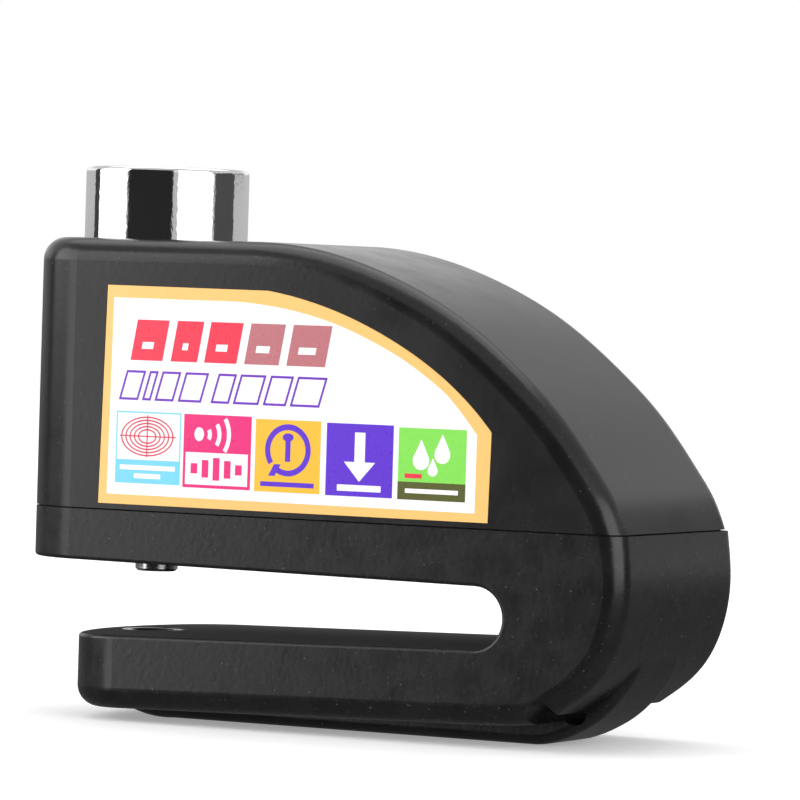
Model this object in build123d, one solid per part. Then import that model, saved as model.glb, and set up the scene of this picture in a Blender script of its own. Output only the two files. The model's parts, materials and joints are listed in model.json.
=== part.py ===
from build123d import *
import math
import os

os.makedirs("parts", exist_ok=True)

# =====================================================================
# Motorcycle disc brake lock with alarm.
# Working frame: the push-down plunger and its locking pin run along Z
# through x = y = 0. +X points from the jaws' mouth to the closed rear end,
# +Z is up. Everything is moved by (-X_MID, 0, BASE_LIFT) when it is written
# out, so that the finished part stands with the middle of its footprint
# at the origin. Millimetres throughout.
# =====================================================================

# ---- housings -------------------------------------------------------
X_MID = 33.33          # middle of the lock's length, from the plunger axis
BASE_LIFT = 0.20       # the keel's underside is at z = -0.20 here
HALF_W = 18.4          # half width of the lower body
UP_HALF_W = 18.3       # half width of the upper housing
NOSE_X = -15.05        # front end of the upper jaw
JAW_NOSE_X = -7.5      # front end of the lower jaw
NOSE_R = 9.7           # plan corner radius of both noses
NOSE_BULGE = 30.0      # plan radius of the noses between their corners
TOP_Z = 66.56          # flat top of the upper housing
SEAM_Z = 29.06         # joint between the two housings
SEAM_GAP = 0.20        # open groove at the joint, filled by the gasket inside
WALL = 2.6             # upper housing wall
EDGE_R = 3.2           # big outside edge rounds
SLOT_R = 0.5           # rounds along the disc slot

# ---- disc slot ------------------------------------------------------
ROOF_Z0, ROOF_Z1 = 22.0, 21.40      # slot roof at the nose and at the closed end
JAW_Z0, JAW_Z1 = 11.45, 12.93       # lower jaw top at the nose and at the closed end
SLOT_END_X = 64.1

# ---- plunger --------------------------------------------------------
KNOB_R = 11.5
KNOB_TOP = 76.7
SHELL_BOT = 46.0
TRAVEL = 11.6
SLEEVE_RI, SLEEVE_RO = 11.58, 12.7
SLEEVE_BOT, SLEEVE_TOP = 31.0, 64.4
PIN_R = 3.0
PIN_TIP = 19.88
PIN_TOP = 47.3
BUSH_RI = 3.06
BUSH_RO = 4.4
SEAT_Z = 24.5          # floor of the return spring's pocket
SPRING_R = 7.7         # return spring mean radius
SPRING_WIRE = 1.0

# ---- tubular lock ---------------------------------------------------
PLUG_R = 6.2
PLUG_TOP = 76.3
SHEAR_Z = 66.45
GROOVE_RI, GROOVE_RO = 3.65, 4.85
PIN_CIRCLE_R = 4.25
TUMBLER_R = 0.55
TUMBLER_HOLE_R = 0.62
CHAMBER_R = 7.4
CHAMBER_BOT = 56.5
SPINDLE_R = 2.5
KEY_TURN = 60.0
LATCH_STROKE = 1.8
CAM_E = 1.8            # cam pin's throw: 60 degrees of turn moves it 1.8 mm

# ---- electronics ----------------------------------------------------
TRAY_Z = 30.2
PCB_Z = 34.0
CELL_R, CELL_L = 5.8, 5.4
CELL_Z = 43.3
SIREN_X, SIREN_Z, SIREN_R = 50.5, 45.9, 8.8

written = []


def out(name, shape):
    """Write one sub-part, moved into the finished part's frame."""
    place = Pos(-X_MID, 0, BASE_LIFT)
    solids = [place * s for s in shape.solids()]
    shp = solids[0] if len(solids) == 1 else Compound(solids)
    export_step(shp, f"parts/{name}.step")
    written.append(name)


def group(items):
    """Separate solids that share one node."""
    return Compound([s for it in items for s in it.solids()])


def cyl(r, z0, z1, x=0.0, y=0.0):
    return Pos(x, y, (z0 + z1) / 2) * Cylinder(r, z1 - z0)


def box(x0, x1, y0, y1, z0, z1):
    return Pos((x0 + x1) / 2, (y0 + y1) / 2, (z0 + z1) / 2) * Box(x1 - x0, y1 - y0, z1 - z0)


def cyl_y(r, y0, y1, x, z):
    return Pos(x, (y0 + y1) / 2, z) * Rot(90, 0, 0) * Cylinder(r, y1 - y0)


def cyl_x(r, x0, x1, y, z):
    return Pos((x0 + x1) / 2, y, z) * Rot(0, 90, 0) * Cylinder(r, x1 - x0)


def prism(face_xz, y0, y1):
    """Extrude a face drawn on the XZ plane from y0 to y1."""
    return Pos(0, y0, 0) * extrude(face_xz, amount=y1 - y0, dir=(0, 1, 0))


def xz(*pts):
    return [(p[0], p[1]) for p in pts]


def plan(nose_x, half_w, r, z0, z1, x1=95.0, bulge=NOSE_BULGE):
    """Block whose front is a shallow arc, with round corners running into the flat sides."""
    sn = (half_w - r) / (bulge - r)
    th = math.asin(sn)
    cx = nose_x + bulge
    kx, ky = cx - (bulge - r) * math.cos(th), half_w - r
    jx, jy = cx - bulge * math.cos(th), bulge * sn
    am = (math.pi / 2 + th) / 2
    mx, my = kx - r * math.cos(am), ky + r * math.sin(am)
    w = Wire([
        Edge.make_three_point_arc((jx, -jy), (nose_x, 0), (jx, jy)),
        Edge.make_three_point_arc((jx, jy), (mx, my), (kx, half_w)),
        Edge.make_line((kx, half_w), (x1, half_w)),
        Edge.make_line((x1, half_w), (x1, -half_w)),
        Edge.make_line((x1, -half_w), (kx, -half_w)),
        Edge.make_three_point_arc((kx, -half_w), (mx, -my), (jx, -jy)),
    ])
    return Pos(0, 0, z0) * extrude(Face(w), amount=z1 - z0, dir=(0, 0, 1))


def try_fillet(shape, edges, radii):
    """Round a group of edges with the largest radius that builds."""
    edges = list(edges)
    for r in radii:
        try:
            res = fillet(edges, r)
            if res.is_valid and res.volume > 0:
                return res, r
        except Exception:
            continue
    print("  no fillet for", len(edges), "edges, tried", radii)
    return shape, 0


# =====================================================================
# Upper housing: side outline, extruded, with rounded nose corners
# =====================================================================
ZU0 = SEAM_Z + SEAM_GAP / 2
ZL1 = SEAM_Z - SEAM_GAP / 2

BACK_PTS = [(24.0, TOP_Z), (36.8, 64.9), (46.4, 61.6), (55.9, 56.65),
            (64.2, 50.4), (70.9, 44.1), (76.8, 36.6), (80.8, ZU0)]


def back_curve(inset=0.0):
    """The curved back of the upper housing, moved inwards by inset."""
    pts = [Vector(p[0], p[1]) for p in BACK_PTS]
    base = Spline(pts, tangents=[(1, 0), (0.36, -1)])
    if inset == 0:
        return base
    moved = []
    for i in range(0, 9):
        t = i / 8
        p, d = base @ t, base % t
        n = Vector(d.Y, -d.X)
        moved.append(Vector(p.X + n.X * inset, p.Y + n.Y * inset))
    return Spline(moved)


def on_xz(sk):
    """A sketch drawn on XY, stood up on the XZ plane (normal to -Y)."""
    return Plane.XZ * sk


bc = back_curve()
up_wire = Wire([
    Edge.make_line((NOSE_X, ZU0), (NOSE_X, TOP_Z)),
    Edge.make_line((NOSE_X, TOP_Z), (BACK_PTS[0][0], TOP_Z)),
    bc.edge(),
    Edge.make_line((BACK_PTS[-1][0], ZU0), (NOSE_X, ZU0)),
])
up_face = on_xz(Face(up_wire))
upper_env = prism(up_face, -UP_HALF_W, UP_HALF_W)
upper_env = upper_env & plan(NOSE_X, UP_HALF_W, NOSE_R, 0, 90)
upper_env = upper_env.solid() if hasattr(upper_env, "solid") else upper_env


def on_back(e, tol=0.05):
    c = e.center()
    bb = e.bounding_box()
    return bb.max.Z > TOP_Z - tol and bb.min.Z > TOP_Z - tol or (
        abs(abs(c.Y) - UP_HALF_W) < tol and bb.max.X > 75 and bb.max.Z > 60)


top_edges = [e for e in upper_env.edges() if on_back(e) and e.length > 0.5
             and not (abs(e.center().X - BACK_PTS[0][0]) < 0.5 and e.bounding_box().size.Y > 20)]
upper_env, rr = try_fillet(upper_env, top_edges, [EDGE_R, 2.9, 2.6, 2.2, 1.5])
print("upper edge round", rr)

# cavity for the alarm module, behind the plunger boss
ic = back_curve(WALL)
p0, p1 = ic @ 0, ic @ 1
cav_wire = Wire([
    Edge.make_line((10.0, ZU0 - 3), (10.0, p0.Y)),
    Edge.make_line((10.0, p0.Y), (p0.X, p0.Y)),
    ic.edge(),
    Edge.make_line((p1.X, p1.Y), (p1.X + 0.2, ZU0 - 3)),
    Edge.make_line((p1.X + 0.2, ZU0 - 3), (10.0, ZU0 - 3)),
])
cavity = prism(on_xz(Face(cav_wire)), -UP_HALF_W + WALL, UP_HALF_W - WALL)
cavity = cavity - cyl(16.2, 20, 80)
cavity, _ = try_fillet(cavity, [e for e in cavity.edges().filter_by(GeomType.BSPLINE)], [1.2, 0.8])
SCREWS = [(15.2, 12.0), (15.2, -12.0), (57.5, 12.0), (57.5, -12.0)]
for sx, sy in SCREWS:
    ys = 1 if sy > 0 else -1
    boss = cyl(3.4, 20, 36.3 if sx > 40 else 70, sx, sy)
    rib = box(sx - 3.4, sx + 3.4, min(sy, ys * 17), max(sy, ys * 17), 20, 36.3 if sx > 40 else 70)
    cavity = cavity - boss - rib
upper = upper_env - cavity
upper = upper - cyl(11.8, 60, 80) - cyl(SLEEVE_RO, 20, SLEEVE_TOP) - cyl(12.65, SLEEVE_TOP - 0.1, 65.45)
# mouth of the plunger bore: small lead-in
upper = upper - Pos(0, 0, TOP_Z - 0.2) * Cone(11.8, 12.2, 0.41)
for sx, sy in SCREWS:
    upper = upper - cyl(1.25, 20, 35.5, sx, sy)
# run-out for the latch nose and the window for the switch lever
upper = upper - box(10, 13.4, -2.9, 2.9, 31.0, 54.6)
upper = upper - box(12, 18, -2.9, 2.9, 20, 38.6)
# stop screw, drilled radially at 60 degrees
SA = 60.0
STOP_Z = 50.0
radial = lambda r, a, z, r0, r1: Rot(0, 0, a) * cyl_x(r, r0, r1, 0, z)
upper = upper - radial(1.5, SA, STOP_Z, 10, 16.1)
# sound ports through the far wall
PORTS = [(SIREN_X, SIREN_Z)] + [(SIREN_X + 4.4 * math.cos(math.radians(60 * k + 30)),
                                 SIREN_Z + 4.4 * math.sin(math.radians(60 * k + 30))) for k in range(6)]
for px, pz in PORTS:
    upper = upper - cyl_y(1.1, 14, 19, px, pz)
# shallow recess for the label on the near face
LABEL_T = 0.15


def label_face(grow=0.0):
    g = grow
    a = Vector(1.7 - g, 60.06 + g)
    b = Vector(27.1, 59.9 + g)
    m1, m2, m3 = Vector(36.3 + g * .3, 57.85 + g * .9), Vector(46.2 + g * .5, 53.85 + g * .85), Vector(54.9 + g * .7, 48.5 + g * .7)
    c = Vector(61.8 + g, 41.96 + g * .3)
    d = Vector(61.6 + g, 29.9 - g)
    e = Vector(1.1 - g, 29.9 - g)
    crv = Spline([b, m1, m2, m3, c])
    w = Wire([Edge.make_line(e, a), Edge.make_line(a, b), crv.edge(), Edge.make_line(c, d), Edge.make_line(d, e)])
    return on_xz(Face(w))


LAB_Y = -UP_HALF_W
rec = prism(label_face(0.06), LAB_Y - 2.0, LAB_Y + LABEL_T)
upper = upper - rec
upper = upper.solids().sort_by(SortBy.VOLUME)[-1]
out("upper_housing", upper)

label = prism(label_face(0.0), LAB_Y + 0.02, LAB_Y + LABEL_T)
out("front_label", label)

# =====================================================================
# Lower body: C-shaped casting with both jaws, the disc slot and the keel
# =====================================================================
SC_Z = (ROOF_Z1 + JAW_Z1) / 2
SR = (ROOF_Z1 - JAW_Z1) / 2
SCX = SLOT_END_X - SR
rear = Spline([(81.1, ZL1), (81.7, 21.5), (80.1, 13.9), (76.9, 8.9), (72.2, 5.2), (61.0, 2.80)],
              tangents=[(0.13, -1), (-1, -0.03)])


def corner(a, p, b, r):
    """Tangent arc of radius r at p, between the runs a-p and p-b."""
    a, p, b = Vector(*a), Vector(*p), Vector(*b)
    u, v = (a - p).normalized(), (b - p).normalized()
    half = math.radians(u.get_angle(v)) / 2
    t = r / math.tan(half)
    mid = (u + v).normalized()
    c = p + mid * (r / math.sin(half))
    q1, q2, m = p + u * t, p + v * t, c - mid * r
    return (q1.X, q1.Y), (m.X, m.Y), (q2.X, q2.Y)


roof_r, jaw_r = (SCX, ROOF_Z1), (SCX, JAW_Z1)
bot_r, bot_l = (61.0, 2.80), (JAW_NOSE_X, 1.18)
low_wire = Wire([
    Edge.make_line((NOSE_X, ZL1), (81.1, ZL1)),
    rear.edge(),
    Edge.make_line(bot_r, bot_l),
    Edge.make_line(bot_l, (JAW_NOSE_X, JAW_Z0)),
    Edge.make_line((JAW_NOSE_X, JAW_Z0), jaw_r),
    ThreePointArc(jaw_r, (SLOT_END_X, SC_Z), roof_r).edge(),
    Edge.make_line(roof_r, (NOSE_X, ROOF_Z0)),
    Edge.make_line((NOSE_X, ROOF_Z0), (NOSE_X, ZL1)),
])
low_face = on_xz(Face(low_wire))
low_ext = prism(low_face, -HALF_W, HALF_W)
clip = plan(NOSE_X, HALF_W, NOSE_R, SC_Z, 60) + plan(JAW_NOSE_X, HALF_W, NOSE_R, -20, SC_Z)
low_env = (low_ext & clip).solid()


def z_line(e):
    """mean height of an edge above the slanting jaw top and roof lines"""
    c = e.center()
    t = (c.X - JAW_NOSE_X) / (SCX - JAW_NOSE_X)
    return c.Z - (JAW_Z0 + (JAW_Z1 - JAW_Z0) * t), c.Z - (ROOF_Z0 + (ROOF_Z1 - ROOF_Z0) * (c.X - NOSE_X) / (SCX - NOSE_X))


def vertical(e):
    bb = e.bounding_box()
    return bb.size.X < 0.01 and bb.size.Y < 0.01


bottom_edges, slot_edges = [], []
for e in low_env.edges():
    bb, c = e.bounding_box(), e.center()
    if vertical(e) or bb.size.Z < 0.01 and abs(c.Z - ZL1) < 0.01:
        continue
    across = bb.size.X < 0.01 and bb.size.Y > 30
    if across and c.X > 50:
        continue
    if bb.max.Z < 3.2 or (c.X > 70 and bb.min.Z < 10):
        bottom_edges.append(e)
    elif bb.min.Z > JAW_Z0 - 0.2 and bb.max.Z < ROOF_Z0 + 0.2:
        slot_edges.append(e)


def near_any(e, pts, tol=0.9):
    return any((e.center() - p).length < tol for p in pts)


low_env, rr = try_fillet(low_env, slot_edges, [SLOT_R, 0.4, 0.3])
marks = [e.center() for e in bottom_edges]
low_env, rr2 = try_fillet(low_env, [e for e in low_env.edges() if near_any(e, marks)], [3.0, 2.6, 2.2])
print("slot round", rr, "lower edge round", rr2)

# keel: a narrower rib under the jaw that runs up into the rear end
KEEL_W = 7.0
k_front = ThreePointArc((-3.4, 2.6), (1.0, 0.45), (7.0, -BASE_LIFT)).edge()
k_rear = Spline([(63.2, -BASE_LIFT), (67.3, 0.55), (70.3, 1.9), (73.4, 3.9), (76.6, 7.2),
                 (78.8, 10.9), (79.7, 14.2), (79.8, 18.0)],
                tangents=[(1, 0), (0, 1)]).edge()
keel_wire = Wire([
    k_front,
    Edge.make_line((7.0, -BASE_LIFT), (63.2, -BASE_LIFT)),
    k_rear,
    Edge.make_line((79.8, 18.0), (75.0, 18.0)),
    Edge.make_line((75.0, 18.0), (58.0, 8.0)),
    Edge.make_line((58.0, 8.0), (-3.4, 6.0)),
    Edge.make_line((-3.4, 6.0), (-3.4, 2.6)),
])
keel = prism(on_xz(Face(keel_wire)), -KEEL_W, KEEL_W)
keel_edges = [e for e in keel.edges() if abs(abs(e.center().Y) - KEEL_W) < 0.01
              and ((e.bounding_box().max.Z < 2.7) or (e.geom_type == GeomType.BSPLINE))]
keel, rr = try_fillet(keel, keel_edges, [1.4, 1.2, 1.0])
print("keel round", rr)

# lanyard hole through the keel's rear corner
LAN_X, LAN_Z, LAN_R = 69.8, 4.7, 1.9

# pin path, spring pocket, bush seats, drain
JAW_TOP_0 = JAW_Z0 + (JAW_Z1 - JAW_Z0) * (-JAW_NOSE_X) / (SCX - JAW_NOSE_X)
ROOF_AT = lambda x: ROOF_Z0 + (ROOF_Z1 - ROOF_Z0) * (x - NOSE_X) / (SCX - NOSE_X)
lower = (low_env + keel).solid()
for tool in [cyl_y(LAN_R, -20, 20, LAN_X, LAN_Z), cyl(9.2, SEAT_Z, 32), cyl(BUSH_RO, 20, 26),
             cyl(4.6, 5.0, 14.0), cyl(1.5, -2, 6)]:
    v0 = lower.volume
    lower = (lower - tool).solid()
    if v0 - lower.volume < 1:
        print("  CUT FAILED", tool.bounding_box())
for sx, sy in SCREWS:
    lower = lower - cyl(1.7, 20, 31, sx, sy) - cyl(3.1, 20, 24.6, sx, sy)


def seam_block(d, z0, z1, rear_r):
    b = plan(NOSE_X + d, UP_HALF_W - d, NOSE_R - d, z0, z1, 80.8 - d, NOSE_BULGE - d)
    re = [e for e in b.edges().filter_by(Axis.Z) if e.center().X > 70]
    return fillet(re, rear_r)


gasket = seam_block(0.9, 28.1, ZU0, 1.7) - seam_block(2.3, 27, 30, 0.5)
lower = lower - gasket
lower = lower.solids().sort_by(SortBy.VOLUME)[-1]
out("lower_body", lower)
out("housing_gasket", gasket)

# =====================================================================
# Fixed pieces: sleeve, bushes, seal, screws
# =====================================================================
sleeve = cyl(SLEEVE_RO, SLEEVE_BOT, SLEEVE_TOP) - cyl(SLEEVE_RI, 20, 80)
sleeve = sleeve - box(10, 14, -2.7, 2.7, 20, 54.5)
sleeve = sleeve - radial(1.5, SA, STOP_Z, 10, 14)
out("guide_sleeve", sleeve)

seal = cyl(12.65, SLEEVE_TOP, 65.45) - cyl(11.56, 60, 70)
out("dust_seal", seal)

bush = cyl(BUSH_RO, ROOF_AT(0) - 0.06, SEAT_Z) + cyl(6.4, SEAT_Z, 25.7) - cyl(BUSH_RI, 18, 30)
out("pin_guide_bush", bush)

seat = cyl(4.6, 5.0, JAW_TOP_0 - 0.1) - cyl(3.35, 6.0, 14) - cyl(1.5, 0, 8)
seat = seat - Pos(0, 0, JAW_TOP_0 - 0.4) * Cone(3.35, 3.75, 0.62)
out("pin_seat_bush", seat)

stop = radial(1.5, SA, STOP_Z, 10.35, 16.0)
stop = stop - Rot(0, 0, SA) * Pos(15.2, 0, STOP_Z) * Rot(0, 90, 0) * extrude(RegularPolygon(0.8, 6), amount=1.5, both=True)
out("plunger_stop_screw", stop)

screws = []
for sx, sy in SCREWS:
    s1 = cyl(2.75, 22.1, 24.6, sx, sy) + cyl(1.2, 24.6, 34.8, sx, sy)
    s1 = s1 - Pos(sx, sy, 22.1) * extrude(RegularPolygon(1.4, 6), amount=1.4)
    screws.append(s1)
out("housing_screws", group(screws))

# =====================================================================
# Plunger: chromed lock cylinder, carrier, locking pin, return spring
# =====================================================================
shell = cyl(KNOB_R, SHELL_BOT, KNOB_TOP)
shell, _ = try_fillet(shell, [e for e in shell.edges() if e.center().Z > KNOB_TOP - 0.01 and e.geom_type == GeomType.CIRCLE], [0.7])
shell = shell - cyl(6.27, 66.5, 80) - cyl(CHAMBER_R, CHAMBER_BOT, 66.5) - cyl(9.0, 40, CHAMBER_BOT)
shell = shell - (cyl(7.6, KNOB_TOP - 0.5, 80) - cyl(6.9, 70, 81))
shell = shell - Rot(0, 0, SA) * box(10.2, 12.5, -1.6, 1.6, STOP_Z - 1.65, STOP_Z + 1.7 + TRAVEL)
shell = shell - box(8, 12, -2.5, 2.5, 47.85, 52.25)
out("lock_cylinder", shell.solids().sort_by(SortBy.VOLUME)[-1])

carrier = cyl(9.0, SHELL_BOT, 52.2) + cyl(6.3, 40, SHELL_BOT)
carrier = carrier - cyl(PIN_R, 35, PIN_TOP) - box(-8.9, 9.1, -3.5, 3.5, 47.9, 53) - cyl_y(0.9, -7, 7, 0, 43)
out("pin_carrier", carrier)

pin = cyl(PIN_R, PIN_TIP, PIN_TOP)
pin = chamfer([e for e in pin.edges() if e.center().Z < PIN_TIP + 0.01 and e.geom_type == GeomType.CIRCLE], 0.35)
pin = pin - cyl_y(0.9, -7, 7, 0, 43)
out("locking_pin", pin)
out("carrier_cross_pin", cyl_y(0.9, -6.1, 6.1, 0, 43) - cyl_y(0.5, -7, 7, 0, 43))


def spring(radius, wire, z0, z1, turns):
    h = Helix(pitch=(z1 - z0) / turns, height=z1 - z0, radius=radius)
    prof = Plane(origin=h @ 0, z_dir=h % 0) * Circle(wire / 2)
    s = sweep(prof, path=h, is_frenet=True)
    return Pos(0, 0, z0) * s


out("return_spring", spring(SPRING_R, SPRING_WIRE, SEAT_Z + 0.55, SHELL_BOT - 0.55, 6))

# ---- tubular lock core ----------------------------------------------
ANG = [90 + 45 * k for k in range(1, 8)]
PXY = [(PIN_CIRCLE_R * math.cos(math.radians(a)), PIN_CIRCLE_R * math.sin(math.radians(a))) for a in ANG]
plug = cyl(PLUG_R, 66.5, PLUG_TOP) + cyl(SPINDLE_R, 54.2, 66.5)
plug = plug + box(-1.3, 1.3, -1.3, 1.3, 52.7, 54.2)
plug = plug - (cyl(GROOVE_RO, 68.9, 80) - cyl(GROOVE_RI, 60, 81))
plug = plug - box(-0.8, 0.8, GROOVE_RO - 0.3, 5.9, 68.9, 80) - box(-0.8, 0.8, 2.7, GROOVE_RI + 0.2, 72.4, 80)
plug = plug - (cyl(4, 55.4, 56.3) - cyl(2.05, 55, 57))
for px, py in PXY:
    plug = plug - cyl(TUMBLER_HOLE_R, 60, 69.5, px, py)
out("key_plug", plug)

LEN = [73.4, 73.9, 72.9, 74.2, 73.2, 73.7, 72.7]
kp = []
for (px, py), top in zip(PXY, LEN):
    k1 = cyl(TUMBLER_R, 67.75, top, px, py)
    k1, _ = try_fillet(k1, [e for e in k1.edges() if e.center().Z > top - 0.01 and e.geom_type == GeomType.CIRCLE], [0.25])
    kp.append(k1.solid())
out("key_pins", group(kp))

chamber = cyl(CHAMBER_R, CHAMBER_BOT, SHEAR_Z) - cyl(SPINDLE_R + 0.07, 50, 70)
for px, py in PXY:
    chamber = chamber - cyl(TUMBLER_HOLE_R, 57.2, 70, px, py)
out("pin_chamber", chamber)
drivers = [cyl(TUMBLER_R, 63.2, 66.4, px, py).solid() for px, py in PXY]
out("driver_pins", group(drivers))
ts = spring(0.44, 0.16, 57.35, 63.05, 8)
out("tumbler_springs", group([Pos(px, py, 0) * ts for px, py in PXY]))
clip_r = cyl(4.2, 55.5, 56.2) - cyl(2.07, 50, 60) - box(0, 5, -1.2, 1.2, 50, 60)
out("plug_retainer", clip_r)

cam = cyl(4.6, 52.6, 54.1) - box(-1.33, 1.33, -1.33, 1.33, 50, 60)
cam_x, cam_y = CAM_E * math.cos(math.radians(60)), -CAM_E * math.sin(math.radians(60))
cam = cam + cyl(0.9, 50.4, 52.6, cam_x, cam_y)
out("cam_disc", cam)

latch = box(-4.0, 8.2, -3.35, 3.35, 48.0, 52.1) + box(8.2, 13.0, -2.4, 2.4, 48.0, 52.1)
# slanted nose: lets the latch ride up when it is pushed from above
nose_cut = Plane.XZ * make_face(Polyline((13.0, 48.0), (13.0, 49.4), (11.9, 48.0), close=True))
latch = latch - prism(nose_cut, -4, 4)
latch = latch - box(cam_x - 1.0, cam_x + 1.0, -3.0, -0.3, 50.2, 53)
latch = latch - cyl_x(1.3, -5, -2.0, 0.6, 50.0)
out("latch_bolt", latch)
ls = Pos(0, 0.6, 50.0) * Rot(0, 90, 0) * spring(0.9, 0.35, -8.6, -5.95, 3.5)
out("latch_spring", ls)

# =====================================================================
# Alarm module
# =====================================================================
TZ0, TZ1 = ZL1, 30.5
tray = box(16.7, 74.0, -14.6, 14.6, TZ0, TZ1)
tray = tray - cyl(16.3, 20, 40)
for sx, sy in SCREWS:
    tray = tray - cyl(3.6, 20, 40, sx, sy) - box(sx - 3.6, sx + 3.6, min(sy, 17 * (1 if sy > 0 else -1)), max(sy, 17 * (1 if sy > 0 else -1)), 20, 40)
STAND = [(44.2, 6.3), (44.2, -6.3), (70.8, 6.3), (70.8, -6.3)]
for px, py in STAND:
    tray = tray + cyl(1.9, TZ1 - 0.2, PCB_Z, px, py)
for px, py in [(22.3, 11.3), (22.3, -11.3), (38.0, 11.3), (38.0, -11.3)]:
    tray = tray + cyl(1.5, TZ1 - 0.2, 36.5, px, py)
cradle = box(47.0, 54.0, 8.9, 12.4, TZ1 - 0.2, 38.6) - cyl_y(SIREN_R, 0, 20, SIREN_X, SIREN_Z)
tray = tray + cradle
for px, py in STAND:
    tray = tray - cyl(0.85, 29.6, PCB_Z + 1, px, py)
out("electronics_tray", tray.solids().sort_by(SortBy.VOLUME)[-1])

pcb = box(42.0, 73.0, -8.4, 8.4, PCB_Z, PCB_Z + 1.6)
for px, py in STAND:
    pcb = pcb - cyl(1.1, 30, 40, px, py)
out("circuit_board", pcb)
PT = PCB_Z + 1.6
tscr = []
for px, py in STAND:
    t1 = cyl(1.7, PT, PT + 1.1, px, py) + cyl(0.84, 30.2, PT, px, py)
    t1 = t1 - box(px - 1.2, px + 1.2, py - 0.2, py + 0.2, PT + 0.6, PT + 2) - box(px - 0.2, px + 0.2, py - 1.2, py + 1.2, PT + 0.6, PT + 2)
    tscr.append(t1.solid())
out("board_screws", group(tscr))


def chip(x0, x1, y0, y1, h, legs):
    body = box(x0, x1, y0, y1, PT + 0.1, PT + h)
    for k in range(legs):
        lx = x0 + (k + 0.5) * (x1 - x0) / legs
        body = body + box(lx - 0.2, lx + 0.2, y0 - 0.8, y1 + 0.8, PT, PT + 0.5)
    return body


out("control_chip", chip(61.5, 68.5, -3.4, 0.6, 1.6, 7))
out("driver_transistor", chip(51.0, 54.0, 0.4, 2.2, 1.3, 3))
coil = cyl(3.0, PT, PT + 0.8, 64.6, 5.0) + cyl(1.5, PT, PT + 4.0, 64.6, 5.0) + cyl(3.0, PT + 3.2, PT + 4.0, 64.6, 5.0) + cyl(2.6, PT + 0.8, PT + 3.2, 64.6, 5.0)
out("boost_coil", coil)
cap = cyl(2.5, PT, PT + 6.2, 58.4, -4.6)
cap, _ = try_fillet(cap, [e for e in cap.edges() if e.center().Z > PT + 6.1], [0.4])
out("reservoir_capacitor", cap)

SSZ = PT + 2.35
can = cyl_x(2.3, 46.8, 54.6, -4.6, SSZ) - cyl_x(1.6, 47.4, 54.0, -4.6, SSZ)
out("shock_sensor", can)
out("sensor_ball", Pos(49.2, -4.6, SSZ) * Sphere(1.5))

case = box(16.9, 27.0, -2.7, 2.7, TZ1, 34.6)
case = case + box(17.5, 18.3, -0.6, 0.6, 34.5, 34.7)
ear = box(18.8, 20.2, 1.3, 2.1, 34.4, 36.0) + box(18.8, 20.2, -2.1, -1.3, 34.4, 36.0)
case = case + ear + cyl_y(0.4, -2.1, 2.1, 19.5, 35.25)
out("limit_switch", case)
LP_X, LP_Z = 19.5, 35.25
lever = box(9.8, 19.5, -1.0, 1.0, LP_Z - 0.15, LP_Z + 0.15) + cyl_y(0.85, -1.0, 1.0, LP_X, LP_Z)
lever = lever - cyl_y(0.45, -3, 3, LP_X, LP_Z)
# the case top is 0.65 below the pin, so the eye is ground flat underneath
lever = lever - box(18.4, 20.6, -2, 2, 34.0, 34.72)
out("switch_lever", lever.solids().sort_by(SortBy.VOLUME)[-1])

# ---- batteries --------------------------------------------------------
CY = 6.3
holder = box(19.5, 40.6, -13.0, 13.0, 36.5, 44.0) + box(19.5, 20.6, -13.0, 13.0, 36.5, 48.6) + box(39.5, 40.6, -13.0, 13.0, 36.5, 48.6)
holder = holder - cyl_x(CELL_R + 0.1, 20.6, 39.5, CY, CELL_Z) - cyl_x(CELL_R + 0.1, 20.6, 39.5, -CY, CELL_Z)
holder = holder - box(20.6, 39.5, -CY - 5.9, CY + 5.9, CELL_Z, 50)
vs = [e for e in holder.edges().filter_by(Axis.X) if e.center().Z > 48.5]
holder, _ = try_fillet(holder, vs, [2.0, 1.0])
out("battery_holder", holder)
cells = []
for yy in (CY, -CY):
    for k in range(3):
        x0 = 21.7 + k * CELL_L
        c1 = cyl_x(CELL_R, x0 + 0.25, x0 + CELL_L, yy, CELL_Z) + cyl_x(CELL_R - 1.2, x0, x0 + 0.3, yy, CELL_Z)
        cells.append(c1.solid())
out("button_cells", group(cells))
bridge = box(20.6, 20.9, -7.0, 7.0, 43.6, 47.0)
for yy in (CY, -CY):
    bridge = bridge + box(20.6, 20.9, yy - 3.2, yy + 3.2, 40.0, 47.0) + cyl_x(1.6, 20.9, 21.7, yy, CELL_Z)
con = [bridge]
for yy in (CY, -CY):
    con.append(box(39.2, 39.5, yy - 3.2, yy + 3.2, 40.0, 47.0))
    con.append(Pos(0, yy, CELL_Z) * Rot(0, 90, 0) * spring(2.0, 0.4, 38.15, 38.95, 1.5))
out("battery_contacts", group(con))

# ---- siren --------------------------------------------------------------
sc = cyl_y(SIREN_R, 4.5, 13.2, SIREN_X, SIREN_Z) - cyl_y(SIREN_R - 0.9, 5.6, 14, SIREN_X, SIREN_Z)
sc = sc + (cyl_y(SIREN_R - 0.5, 8.0, 8.7, SIREN_X, SIREN_Z) - cyl_y(SIREN_R - 1.6, 7, 10, SIREN_X, SIREN_Z))
out("siren_case", sc)
dia = cyl_y(SIREN_R - 1.0, 8.7, 8.95, SIREN_X, SIREN_Z) + cyl_y(5.6, 8.95, 9.2, SIREN_X, SIREN_Z)
out("siren_diaphragm", dia)
cov = cyl_y(SIREN_R, 13.2, 14.2, SIREN_X, SIREN_Z)
for px, pz in PORTS:
    cov = cov - cyl_y(1.1, 12, 15, px, pz)
out("siren_cover", cov)
out("siren_gasket", cyl_y(SIREN_R - 0.4, 14.2, UP_HALF_W - WALL, SIREN_X, SIREN_Z) - cyl_y(6.6, 13, 16, SIREN_X, SIREN_Z))
out("sound_mesh", cyl_y(6.6, UP_HALF_W - WALL - 0.4, UP_HALF_W - WALL, SIREN_X, SIREN_Z))


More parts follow.
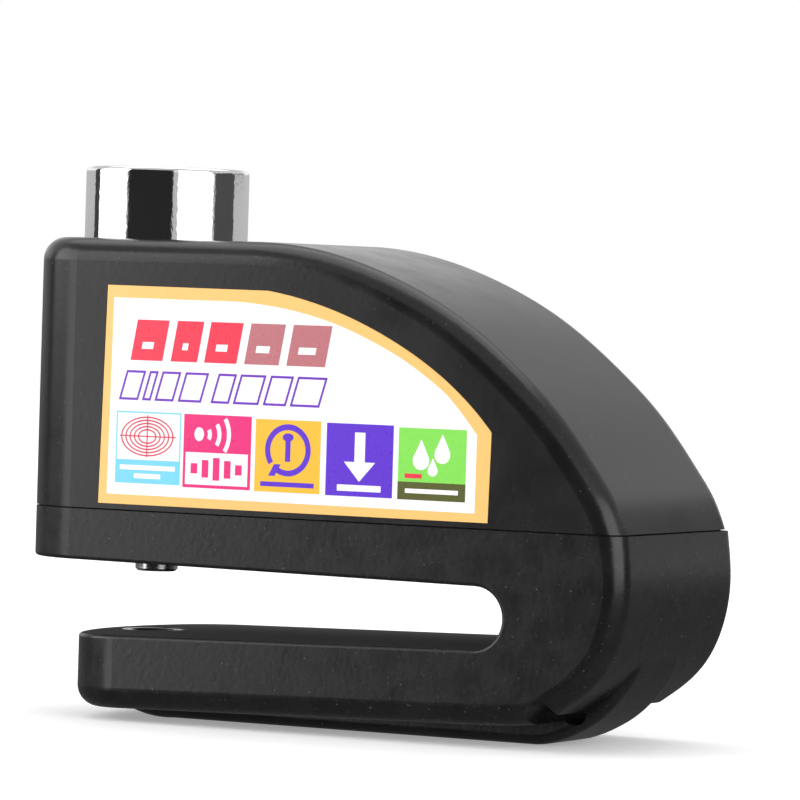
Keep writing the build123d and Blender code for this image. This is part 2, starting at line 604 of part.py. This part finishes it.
def wire_run(pts, r, radius):
    path = FilletPolyline(*pts, radius=radius)
    prof = Plane(origin=path @ 0, z_dir=path % 0) * Circle(r)
    return sweep(prof, path=path).solid()


sl = [wire_run([(x, 4.5, 41.0), (x, 2.9, 41.0), (x, 2.9, PT)], 0.45, 0.9) for x in (47.6, 49.6)]
out("siren_leads", group(sl))
bl = [wire_run([(40.6, y, 38.0), (43.0, y, 38.0), (43.0, y, PT)], 0.45, 1.0) for y in (2.4, -2.4)]
out("battery_leads", group(bl))

print(len(written), "nodes")
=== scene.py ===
import json
import math

import bmesh
import bpy
from mathutils import Matrix, Vector


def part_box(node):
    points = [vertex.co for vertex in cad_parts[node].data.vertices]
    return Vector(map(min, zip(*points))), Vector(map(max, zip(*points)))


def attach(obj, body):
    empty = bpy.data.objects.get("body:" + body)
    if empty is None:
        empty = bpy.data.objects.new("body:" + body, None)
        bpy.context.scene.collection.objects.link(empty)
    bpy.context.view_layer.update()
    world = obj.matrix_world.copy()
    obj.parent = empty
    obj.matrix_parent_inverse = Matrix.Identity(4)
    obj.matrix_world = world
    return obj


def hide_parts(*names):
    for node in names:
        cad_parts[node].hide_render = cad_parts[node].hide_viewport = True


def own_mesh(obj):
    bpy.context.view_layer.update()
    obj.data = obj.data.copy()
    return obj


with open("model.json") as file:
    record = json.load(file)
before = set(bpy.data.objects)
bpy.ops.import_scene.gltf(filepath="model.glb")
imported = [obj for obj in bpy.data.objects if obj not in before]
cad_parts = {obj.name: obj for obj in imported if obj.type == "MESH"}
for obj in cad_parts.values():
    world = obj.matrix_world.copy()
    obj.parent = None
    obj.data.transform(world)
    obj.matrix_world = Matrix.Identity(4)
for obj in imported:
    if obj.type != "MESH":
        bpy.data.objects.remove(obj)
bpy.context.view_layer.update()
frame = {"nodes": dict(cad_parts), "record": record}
nodes = frame["nodes"]
scene = bpy.context.scene
MM = 0.001
# the plunger's axis and the label's outer face, taken from the CAD
_kl, _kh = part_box("lock_cylinder")
AXIS_X = (_kl.x + _kh.x) / 2
LABEL_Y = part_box("front_label")[0].y


def lin(r, g, b):
    def f(c):
        c /= 255.0
        return c / 12.92 if c <= 0.04045 else ((c + 0.055) / 1.055) ** 2.4

    return (f(r), f(g), f(b), 1.0)


# ---------------------------------------------------------------- materials
def new_mat(name):
    m = bpy.data.materials.new(name)
    m.use_nodes = True
    nt = m.node_tree
    bsdf = nt.nodes.get("Principled BSDF")
    return m, nt, bsdf


def noise(nt, coord, scale, detail=3.0, rough=0.5, stretch=None):
    n = nt.nodes.new("ShaderNodeTexNoise")
    n.inputs["Scale"].default_value = scale
    n.inputs["Detail"].default_value = detail
    n.inputs["Roughness"].default_value = rough
    src = coord.outputs["Object"]
    if stretch:
        mp = nt.nodes.new("ShaderNodeMapping")
        mp.inputs["Scale"].default_value = stretch
        nt.links.new(src, mp.inputs["Vector"])
        src = mp.outputs["Vector"]
    nt.links.new(src, n.inputs["Vector"])
    return n


def ramp(nt, src, a, b, lo, hi):
    r = nt.nodes.new("ShaderNodeMapRange")
    r.inputs["From Min"].default_value = a
    r.inputs["From Max"].default_value = b
    r.inputs["To Min"].default_value = lo
    r.inputs["To Max"].default_value = hi
    nt.links.new(src, r.inputs["Value"])
    return r.outputs["Result"]


def mix_col(nt, fac, c1, c2):
    m = nt.nodes.new("ShaderNodeMix")
    m.data_type = "RGBA"
    if isinstance(fac, (int, float)):
        m.inputs[0].default_value = fac
    else:
        nt.links.new(fac, m.inputs[0])
    for sock, c in ((m.inputs[6], c1), (m.inputs[7], c2)):
        if hasattr(c, "links") or hasattr(c, "is_linked"):
            nt.links.new(c, sock)
        else:
            sock.default_value = c
    return m.outputs[2]


def surface(
    name,
    col,
    col2,
    rough=0.4,
    rough2=0.5,
    metal=0.0,
    scale=400.0,
    stretch=None,
    bump_scale=2000.0,
    bump_mm=0.01,
    bump_stretch=None,
    coat=0.0,
    coat_rough=0.1,
    spec=0.5,
    speck=None,
    sheen=0.0,
    cast_top=None,
):
    m, nt, b = new_mat(name)
    co = nt.nodes.new("ShaderNodeTexCoord")
    n1 = noise(nt, co, scale, 4.0, 0.6, stretch)
    f = ramp(nt, n1.outputs["Fac"], 0.3, 0.7, 0.0, 1.0)
    c = mix_col(nt, f, col, col2)
    if speck:
        n3 = noise(nt, co, speck[0], 1.0, 0.5)
        g = ramp(nt, n3.outputs["Fac"], speck[1], speck[1] + 0.03, 0.0, 1.0)
        c = mix_col(nt, g, c, speck[2])
    nt.links.new(c, b.inputs["Base Color"])
    rgh = ramp(nt, n1.outputs["Fac"], 0.3, 0.7, rough, rough2)
    if cast_top:
        # the up-facing surface below this height keeps the raw, sandy cast skin
        ge = nt.nodes.new("ShaderNodeNewGeometry")
        sp = nt.nodes.new("ShaderNodeSeparateXYZ")
        sn = nt.nodes.new("ShaderNodeSeparateXYZ")
        nt.links.new(co.outputs["Object"], sp.inputs[0])
        nt.links.new(ge.outputs["True Normal"], sn.inputs[0])
        up = ramp(nt, sn.outputs["Z"], 0.8, 0.98, 0.0, 1.0)
        lowz = ramp(nt, sp.outputs["Z"], cast_top, cast_top + 0.001, 1.0, 0.0)
        mk = nt.nodes.new("ShaderNodeMath")
        mk.operation = "MULTIPLY"
        nt.links.new(up, mk.inputs[0])
        nt.links.new(lowz, mk.inputs[1])
        mr = nt.nodes.new("ShaderNodeMix")
        mr.data_type = "FLOAT"
        nt.links.new(mk.outputs[0], mr.inputs[0])
        nt.links.new(rgh, mr.inputs[2])
        mr.inputs[3].default_value = 0.85
        rgh = mr.outputs[0]
    nt.links.new(rgh, b.inputs["Roughness"])
    b.inputs["Metallic"].default_value = metal
    b.inputs["Specular IOR Level"].default_value = spec
    b.inputs["Coat Weight"].default_value = coat
    b.inputs["Coat Roughness"].default_value = coat_rough
    b.inputs["Sheen Weight"].default_value = sheen
    if bump_mm:
        n2 = noise(nt, co, bump_scale, 2.0, 0.5, bump_stretch)
        bp = nt.nodes.new("ShaderNodeBump")
        bp.inputs["Strength"].default_value = 1.0
        bp.inputs["Distance"].default_value = bump_mm * MM
        nt.links.new(n2.outputs["Fac"], bp.inputs["Height"])
        nt.links.new(bp.outputs["Normal"], b.inputs["Normal"])
    return m


# semi-gloss black paint over a cast zinc skin: fine orange peel, faint cloudiness, a few dust specks
paint = surface(
    "paint_black", (0.0062, 0.0062, 0.0064, 1), (0.0095, 0.0095, 0.0098, 1), 0.2, 0.27, 0.0,
    scale=150.0, bump_scale=1500.0, bump_mm=0.009, coat=0.0, spec=0.5,
    speck=(2900.0, 0.75, (0.09, 0.09, 0.095, 1)),
)
# the lower casting is the same paint, a little rougher where the mould left its skin
paint_low = surface(
    "paint_black_cast", (0.0062, 0.0062, 0.0064, 1), (0.0105, 0.0105, 0.0108, 1), 0.22, 0.31, 0.0,
    scale=260.0, bump_scale=1150.0, bump_mm=0.016, coat=0.0, spec=0.5,
    speck=(2600.0, 0.74, (0.085, 0.085, 0.09, 1)), cast_top=0.0155,
)
chrome = surface(
    "chrome_knob", (0.86, 0.86, 0.87, 1), (0.93, 0.93, 0.94, 1), 0.035, 0.07, 1.0,
    scale=90.0, bump_scale=2600.0, bump_mm=0.0075, bump_stretch=(1, 1, 0.6),
)
steel = surface(
    "steel_turned", (0.46, 0.46, 0.47, 1), (0.6, 0.6, 0.6, 1), 0.22, 0.36, 1.0,
    scale=60.0, stretch=(1, 1, 40), bump_scale=60.0, bump_stretch=(1, 1, 60), bump_mm=0.004,
)
steel_dark = surface("steel_blackened", (0.06, 0.06, 0.065, 1), (0.1, 0.1, 0.1, 1), 0.32, 0.45, 1.0, bump_mm=0.006)
pin_steel = surface(
    "pin_ground", (0.55, 0.55, 0.55, 1), (0.68, 0.68, 0.68, 1), 0.18, 0.3, 1.0,
    scale=70.0, stretch=(1, 1, 30), bump_scale=80.0, bump_stretch=(1, 1, 40), bump_mm=0.004,
)
spring_m = surface("wire_drawn", (0.36, 0.35, 0.33, 1), (0.5, 0.49, 0.46, 1), 0.25, 0.4, 1.0, scale=900.0, bump_mm=0.004)
brass = surface("brass_turned", (0.62, 0.42, 0.16, 1), (0.72, 0.52, 0.24, 1), 0.2, 0.34, 1.0, scale=500.0, bump_mm=0.004)
copper = surface(
    "copper_wound", (0.55, 0.2, 0.08, 1), (0.7, 0.32, 0.15, 1), 0.25, 0.35, 0.9,
    scale=300.0, stretch=(1, 1, 12), bump_scale=300.0, bump_stretch=(1, 1, 12), bump_mm=0.05,
)
rubber = surface("rubber_black", (0.012, 0.012, 0.012, 1), (0.022, 0.022, 0.022, 1), 0.6, 0.75, 0.0, bump_mm=0.015, sheen=0.1)
plastic = surface("plastic_black", (0.02, 0.02, 0.021, 1), (0.03, 0.03, 0.031, 1), 0.42, 0.52, 0.0, bump_scale=3500.0, bump_mm=0.01)
board_m = surface("board_green", (0.006, 0.09, 0.03, 1), (0.01, 0.13, 0.045, 1), 0.25, 0.38, 0.0, scale=700.0, bump_mm=0.01, coat=0.3)
chip_m = surface("epoxy_black", (0.015, 0.015, 0.016, 1), (0.028, 0.028, 0.028, 1), 0.5, 0.62, 0.0, bump_scale=5000.0, bump_mm=0.01)
cap_m = surface("sleeve_blue", (0.01, 0.02, 0.1, 1), (0.015, 0.03, 0.14, 1), 0.2, 0.3, 0.0, bump_mm=0.006, coat=0.3)
cell_m = surface("cell_nickel", (0.62, 0.62, 0.6, 1), (0.74, 0.74, 0.72, 1), 0.16, 0.28, 1.0, scale=800.0, bump_mm=0.003)
nickel = surface("nickel_plate", (0.58, 0.56, 0.52, 1), (0.68, 0.66, 0.62, 1), 0.2, 0.32, 1.0, scale=800.0, bump_mm=0.003)
mesh_m = surface("mesh_woven", (0.01, 0.01, 0.01, 1), (0.05, 0.05, 0.05, 1), 0.7, 0.85, 0.0, scale=6000.0, bump_scale=6000.0, bump_mm=0.05)
lead_m = surface("insulation_red", (0.28, 0.01, 0.01, 1), (0.36, 0.02, 0.02, 1), 0.35, 0.45, 0.0, bump_mm=0.006)

by_slot = {
    "black_paint": paint, "black_rubber": rubber, "steel": steel, "dark_steel": steel_dark, "chrome": chrome,
    "pin_steel": pin_steel, "spring_steel": spring_m, "brass": brass, "black_plastic": plastic,
    "board_green": board_m, "chip_black": chip_m, "copper": copper, "capacitor_sleeve": cap_m,
    "cell_steel": cell_m, "nickel": nickel, "mesh_cloth": mesh_m, "lead_red": lead_m,
}


# printed film: each ink is its own colour on the same gloss film, with a faint print grain
def film(name, rgb, k=0.95):
    c = lin(*rgb)
    d = (c[0] * k, c[1] * k, c[2] * k, 1)
    return surface(name, c, d, 0.26, 0.34, 0.0, scale=1400.0, bump_scale=900.0, bump_mm=0.004, coat=0.25, coat_rough=0.12)


ink_border = film("ink_border", (250, 196, 114))
by_slot["label_film"] = ink_border
slots = {s["node"]: s["material_slot"] for s in frame["record"]["subparts"]}
for name, o in nodes.items():
    m = by_slot[slots[name]]
    if name == "lower_body":
        m = paint_low
    o.data.materials.clear()
    o.data.materials.append(m)

# ---------------------------------------------------------------- the label's print
ink = {
    "white": film("ink_white", (250, 247, 251), 0.97),
    "red": film("ink_red", (240, 44, 74)),
    "rose": film("ink_rose", (188, 112, 120)),
    "violet": film("ink_violet", (112, 40, 190)),
    "sky": film("ink_sky", (118, 210, 240)),
    "magenta": film("ink_magenta", (232, 30, 120)),
    "gold": film("ink_gold", (246, 188, 50)),
    "indigo": film("ink_indigo", (92, 40, 205)),
    "green": film("ink_green", (132, 222, 84)),
    "olive": film("ink_olive", (88, 92, 36)),
    "crimson": film("ink_crimson", (214, 52, 76)),
}
prints = {}


def add(layer, colour, pts):
    prints.setdefault((layer, colour), []).append([pts])


def strip(layer, colour, inner, outer, closed=True):
    n = len(inner)
    quads = []
    for i in range(n if closed else n - 1):
        j = (i + 1) % n
        quads.append([inner[i], outer[i], outer[j], inner[j]])
    prints.setdefault((layer, colour), []).append(quads)


def rect(x0, z0, x1, z1, slant=0.0):
    return [(x0, z0), (x1, z0), (x1 + slant, z1), (x0 + slant, z1)]


def ell(cx, cz, rx, rz, a0=0.0, a1=360.0, n=40):
    full = abs(a1 - a0) >= 360.0
    m = n if full else n + 1
    return [
        (cx + rx * math.cos(math.radians(a0 + (a1 - a0) * i / n)), cz + rz * math.sin(math.radians(a0 + (a1 - a0) * i / n)))
        for i in range(m)
    ]


def ring(layer, colour, cx, cz, rx, rz, w, a0=0.0, a1=360.0):
    full = abs(a1 - a0) >= 360.0
    strip(layer, colour, ell(cx, cz, rx - w, rz - w, a0, a1), ell(cx, cz, rx, rz, a0, a1), full)


def frame_rect(layer, colour, x0, z0, x1, z1, w, slant=0.0):
    outer = rect(x0, z0, x1, z1, slant)
    k = slant * w / max(z1 - z0, 1e-6)
    inner = [(x0 + w + k, z0 + w), (x1 - w + k, z0 + w), (x1 - w + slant - k, z1 - w), (x0 + w + slant - k, z1 - w)]
    strip(layer, colour, inner, outer)


def curve_through(pts, n=8):
    out = []
    for i in range(len(pts) - 1):
        p0 = Vector(pts[max(i - 1, 0)])
        p1, p2 = Vector(pts[i]), Vector(pts[i + 1])
        p3 = Vector(pts[min(i + 2, len(pts) - 1)])
        for k in range(n):
            t = k / n
            q = 0.5 * (
                2 * p1 + (p2 - p0) * t + (2 * p0 - 5 * p1 + 4 * p2 - p3) * t * t + (3 * p1 - p0 - 3 * p2 + p3) * t * t * t
            )
            out.append((q.x, q.y))
    out.append(tuple(pts[-1]))
    return out


# white field inside the border
top = [(-30.89, 58.56), (-20.0, 58.5), (-8.3, 58.28), (2.45, 56.35), (12.4, 52.5), (19.75, 48.1), (23.2, 45.0), (26.0, 41.74)]
add(0, "white", [(-31.2, 31.45), (25.98, 31.3)] + curve_through(top)[::-1])

# headline: five plain slanted blocks, three red and two rose
for x0, x1, c in ((-28.0, -22.9, "red"), (-21.6, -17.4, "red"), (-16.3, -11.2, "red"), (-10.0, -4.6, "rose"), (-3.4, 2.6, "rose")):
    add(1, c, rect(x0, 50.0, x1, 55.6, 1.0))
    add(2, "white", rect(x0 + 1.75, 51.6, x1 - 1.55, 52.55, 0.17))
# subline: outlined slanted blocks
for x0, x1 in ((-29.7, -26.6), (-26.0, -24.6), (-24.0, -21.0), (-20.3, -16.6), (-15.1, -12.2), (-11.6, -7.6), (-6.9, -3.3), (-2.7, 1.9)):
    frame_rect(1, "violet", x0, 44.5, x1, 48.6, 0.33, 1.2)

# square 1: ripples over a plain band
frame_rect(1, "sky", -29.95, 33.05, -19.6, 42.95, 0.22)
add(1, "sky", rect(-29.73, 33.27, -19.82, 36.3))
for k in range(5):
    ring(2, "crimson", -24.95, 39.55, 4.2 - 0.68 * k, 2.75 - 0.43 * k, 0.2)
add(3, "crimson", rect(-29.35, 39.48, -20.4, 39.64))
add(4, "crimson", rect(-25.03, 36.7, -24.87, 42.5))
add(2, "white", rect(-29.2, 34.9, -20.4, 35.55))
add(2, "white", rect(-26.9, 33.75, -22.7, 34.4))
# square 2: sound arcs over a white panel with bars
add(1, "magenta", rect(-19.15, 32.85, -8.5, 42.9))
add(2, "white", rect(-18.75, 33.3, -8.95, 37.7))
for k in range(3):
    ring(2, "white", -16.2, 40.2, 1.5 + 1.5 * k, 1.5 + 1.5 * k, 0.62, -32.0, 32.0)
add(2, "white", ell(-16.7, 40.2, 0.75, 0.95))
for k, h in enumerate((1.4, 2.4, 3.1, 2.4, 1.4)):
    add(3, "magenta", rect(-17.9 + 1.75 * k, 35.5 - h / 2, -16.85 + 1.75 * k, 35.5 + h / 2))
# square 3: a broken ring with a pin
add(1, "gold", rect(-7.85, 32.8, 2.3, 42.65))
ring(2, "indigo", -2.75, 38.55, 3.55, 3.55, 0.8, -120.0, 215.0)
add(3, "indigo", rect(-5.7, 35.0, -4.7, 36.6, 0.9))
add(2, "indigo", rect(-3.15, 37.0, -2.35, 40.0))
add(3, "indigo", ell(-2.75, 40.3, 0.85, 0.55))
add(2, "indigo", rect(-6.9, 33.55, 1.4, 34.2))
# square 4: an arrow down onto a bar
add(1, "indigo", rect(3.2, 32.75, 13.45, 42.55))
add(2, "white", rect(7.55, 37.4, 9.15, 41.4))
add(2, "white", [(5.95, 37.4), (8.35, 34.75), (10.75, 37.4)])
add(2, "white", rect(5.0, 33.45, 11.7, 34.3))
# square 5: three drops over a plain band
add(1, "green", rect(14.25, 32.7, 24.5, 42.35))
add(2, "olive", rect(14.25, 32.7, 24.5, 35.1))


def drop(cx, cz, r):
    pts = ell(cx, cz, r, r, 150.0, 390.0, 24)
    return pts + [(cx, cz + 2.3 * r)]


for cx, cz, r in ((17.7, 38.0, 1.25), (20.9, 38.9, 1.2), (19.5, 36.7, 0.75)):
    add(2, "white", drop(cx, cz, r))
add(3, "red", rect(15.3, 35.6, 17.9, 36.2))
add(3, "white", rect(15.4, 33.6, 23.4, 34.2))

for (layer, colour), groups in prints.items():
    verts, faces = [], []
    y = LABEL_Y - (0.008 + 0.012 * layer) * MM
    for polys in groups:
        for poly in polys:
            k = len(verts)
            verts += [(AXIS_X + (x + 33.65) * MM, y, z * MM) for x, z in poly]
            faces.append(list(range(k, k + len(poly))))
    me = bpy.data.meshes.new("print_%s_%d" % (colour, layer))
    me.from_pydata(verts, [], faces)
    me.validate()
    for p in me.polygons:
        if p.normal.y > 0:
            p.flip()
    me.materials.append(ink[colour])
    o = bpy.data.objects.new(me.name, me)
    scene.collection.objects.link(o)
    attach(o, "housing")

# ---------------------------------------------------------------- return spring
# a coil that stands on its seat in the housing, in place of the CAD spring
s_lo, s_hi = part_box("return_spring")
WIRE_R = 0.5 * MM
COIL_R = (s_hi.x - s_lo.x) / 2 - WIRE_R
TURNS, STEPS, ROUND = 6, 40, 10
verts, faces = [], []
n_ring = TURNS * STEPS + 1
for i in range(n_ring):
    t = i / (n_ring - 1)
    ang = 2 * math.pi * TURNS * t
    out_dir = Vector((math.cos(ang), math.sin(ang), 0.0))
    mid = Vector((AXIS_X, 0.0, s_lo.z + WIRE_R + (s_hi.z - s_lo.z - 2 * WIRE_R) * t)) + out_dir * COIL_R
    for k in range(ROUND):
        b = 2 * math.pi * k / ROUND
        p = mid + out_dir * (WIRE_R * math.cos(b)) + Vector((0, 0, WIRE_R * math.sin(b)))
        verts.append(tuple(p))
for i in range(n_ring - 1):
    for k in range(ROUND):
        a0, a1 = i * ROUND + k, i * ROUND + (k + 1) % ROUND
        faces.append((a0, a1, a1 + ROUND, a0 + ROUND))
faces.append(tuple(range(ROUND)))
faces.append(tuple(reversed(range((n_ring - 1) * ROUND, n_ring * ROUND))))
me = bpy.data.meshes.new("return_spring_coil")
me.from_pydata(verts, [], faces)
me.validate()
bm = bmesh.new()
bm.from_mesh(me)
bmesh.ops.recalc_face_normals(bm, faces=bm.faces)
bm.to_mesh(me)
bm.free()
for p in me.polygons:
    p.use_smooth = True
me.materials.append(spring_m)
coil = bpy.data.objects.new("return_spring_coil", me)
scene.collection.objects.link(coil)
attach(coil, "housing")
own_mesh(coil)
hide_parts("return_spring")

# ---------------------------------------------------------------- stage
world = bpy.data.worlds.new("studio")
scene.world = world
world.use_nodes = True
wn = world.node_tree
bg = wn.nodes["Background"]
# white all round; what glossy rays see is a soft studio: dim below the horizon, bright just above it
lp = wn.nodes.new("ShaderNodeLightPath")
wt = wn.nodes.new("ShaderNodeTexCoord")
ws = wn.nodes.new("ShaderNodeSeparateXYZ")
wn.links.new(wt.outputs["Generated"], ws.inputs[0])
wr = wn.nodes.new("ShaderNodeMapRange")
wr.inputs["From Min"].default_value = -1.0
wr.inputs["From Max"].default_value = 1.0
wn.links.new(ws.outputs["Z"], wr.inputs["Value"])
cr = wn.nodes.new("ShaderNodeValToRGB")
wn.links.new(wr.outputs["Result"], cr.inputs["Fac"])
stops = [(-0.12, 0.12), (-0.012, 0.22), (0.0, 0.5), (0.05, 0.56), (0.12, 1.0), (0.28, 0.95), (0.42, 0.62), (1.0, 0.55)]
el = cr.color_ramp.elements
while len(el) < len(stops):
    el.new(0.5)
for e, (zz, v) in zip(el, stops):
    e.position = (zz + 1) / 2
for e, (zz, v) in zip(el, stops):
    e.color = (v, v, v, 1)
wm = wn.nodes.new("ShaderNodeMix")
wm.data_type = "RGBA"
wm.inputs[6].default_value = (0.6, 0.6, 0.6, 1)
wn.links.new(cr.outputs["Color"], wm.inputs[7])
wn.links.new(lp.outputs["Is Glossy Ray"], wm.inputs[0])
wc = wn.nodes.new("ShaderNodeMix")
wc.data_type = "RGBA"
wc.inputs[7].default_value = (1.0, 1.0, 1.0, 1)
wn.links.new(wm.outputs[2], wc.inputs[6])
wn.links.new(lp.outputs["Is Camera Ray"], wc.inputs[0])
wn.links.new(wc.outputs[2], bg.inputs["Color"])
bg.inputs["Strength"].default_value = 1.0

bpy.ops.mesh.primitive_plane_add(size=40.0, location=(0, 0, -0.00005))
floor = bpy.context.active_object
floor.name = "floor"
fm = surface("floor_pale", (0.9, 0.9, 0.9, 1), (0.92, 0.92, 0.92, 1), 0.7, 0.8, 0.0, scale=30.0, bump_mm=0.0, spec=0.2)
fb = fm.node_tree.nodes["Principled BSDF"]
fb.inputs["Emission Color"].default_value = (1, 1, 1, 1)
# a little brighter away from the lock, so that floor and backdrop meet in one white
ft = fm.node_tree
f_tc = ft.nodes.new("ShaderNodeTexCoord")
f_len = ft.nodes.new("ShaderNodeVectorMath")
f_len.operation = "LENGTH"
f_map = ft.nodes.new("ShaderNodeMapRange")
f_map.inputs["From Min"].default_value = 0.15
f_map.inputs["From Max"].default_value = 0.5
f_map.inputs["To Min"].default_value = 0.3
f_map.inputs["To Max"].default_value = 0.45
ft.links.new(f_tc.outputs["Object"], f_len.inputs[0])
ft.links.new(f_len.outputs["Value"], f_map.inputs["Value"])
ft.links.new(f_map.outputs["Result"], fb.inputs["Emission Strength"])
floor.data.materials.append(fm)
floor.visible_glossy = False

CAM_AZ = 28.0
centre = Vector((0.0, 0.0, 0.05))


def bearing(rel_deg):
    """Unit vector from the object towards a bearing; 0 is towards the camera, positive to its right."""
    a = math.radians(CAM_AZ + rel_deg)
    return Vector((math.sin(a), -math.cos(a), 0.0))


def area(name, rel, dist, z, w, h, radiance, glossy=True, diffuse=True, upright=False):
    L = bpy.data.lights.new(name, "AREA")
    L.shape = "RECTANGLE"
    L.size, L.size_y = w, h
    L.energy = radiance * math.pi * w * h
    o = bpy.data.objects.new(name, L)
    scene.collection.objects.link(o)
    o.location = centre + bearing(rel) * dist + Vector((0, 0, z - centre.z))
    look = centre - o.location
    if upright:
        look.z = 0.0
    o.rotation_euler = look.to_track_quat("-Z", "Y").to_euler()
    o.visible_glossy = glossy
    o.visible_diffuse = diffuse
    o.visible_camera = False
    return o


area("soft_left", -83.5, 1.0, 0.475, 0.93, 0.81, 1.9, upright=True)
area("soft_left_low", -66.5, 1.0, -0.06, 0.26, 0.26, 2.1, upright=True)
area("soft_right", 43.0, 1.0, 0.42, 1.0, 0.9, 1.7, upright=True)
area("soft_top", 180.0, 0.35, 1.1, 1.3, 1.0, 1.2)
area("fill_front", -10.0, 1.3, 0.55, 1.2, 0.9, 0.35, glossy=False)


def card(name, a0, a1, dist, z0, z1, value, n=10):
    """A dark studio flag: a piece of a cylinder wall round the object, seen only in reflections."""
    verts, faces = [], []
    for i in range(n + 1):
        b = bearing(a0 + (a1 - a0) * i / n) * dist
        verts += [(b.x, b.y, z0), (b.x, b.y, z1)]
    for i in range(n):
        faces.append((2 * i, 2 * i + 2, 2 * i + 3, 2 * i + 1))
    me = bpy.data.meshes.new(name)
    me.from_pydata(verts, [], faces)
    m, nt, b = new_mat(name + "_felt")
    co = nt.nodes.new("ShaderNodeTexCoord")
    nn = noise(nt, co, 40.0)
    c = mix_col(nt, nn.outputs["Fac"], (value * 0.8, value * 0.8, value * 0.8, 1), (value * 1.2, value * 1.2, value * 1.2, 1))
    em = nt.nodes.new("ShaderNodeEmission")
    nt.links.new(c, em.inputs["Color"])
    nt.links.new(em.outputs["Emission"], nt.nodes["Material Output"].inputs["Surface"])
    me.materials.append(m)
    o = bpy.data.objects.new(name, me)
    scene.collection.objects.link(o)
    for k in ("visible_camera", "visible_diffuse", "visible_shadow", "visible_transmission", "visible_volume_scatter"):
        setattr(o, k, False)
    return o


card("flag_front", -56.0, 9.0, 1.5, -0.9, 1.2, 0.02)
card("flag_left", -121.0, -109.0, 1.5, 0.0, 0.6, 0.05)
card("flag_right", 73.0, 112.0, 1.5, -0.4, 0.6, 0.07)
card("flag_rear", 112.0, 142.0, 1.5, 0.11, 0.55, 0.3)
card("flag_slot", 160.0, 205.0, 0.6, 0.018, 0.064, 0.05)

# ---------------------------------------------------------------- camera
cam = bpy.data.cameras.new("cam")
cam.sensor_width = 36.0
cam.lens = 243.0
cam.clip_start, cam.clip_end = 0.05, 20.0
co = bpy.data.objects.new("cam", cam)
scene.collection.objects.link(co)
CAM_BACK = -LABEL_Y - 0.01788  # keeps the near face where it was when the width changes
a, p, r = math.radians(28.0), math.radians(1.16), math.radians(1.75)
d = Vector((-math.sin(a) * math.cos(p), math.cos(a) * math.cos(p), -math.sin(p)))
R = Vector((math.cos(a), math.sin(a), 0.0))
U = R.cross(d)
R2 = R * math.cos(r) + U * math.sin(r)
U2 = U * math.cos(r) - R * math.sin(r)
loc = Vector((AXIS_X + 0.38787, -0.65732 - CAM_BACK, 0.06067))
co.matrix_world = Matrix(
    ((R2.x, U2.x, -d.x, loc.x), (R2.y, U2.y, -d.y, loc.y), (R2.z, U2.z, -d.z, loc.z), (0, 0, 0, 1))
)
scene.camera = co
scene.view_settings.view_transform = "Standard"
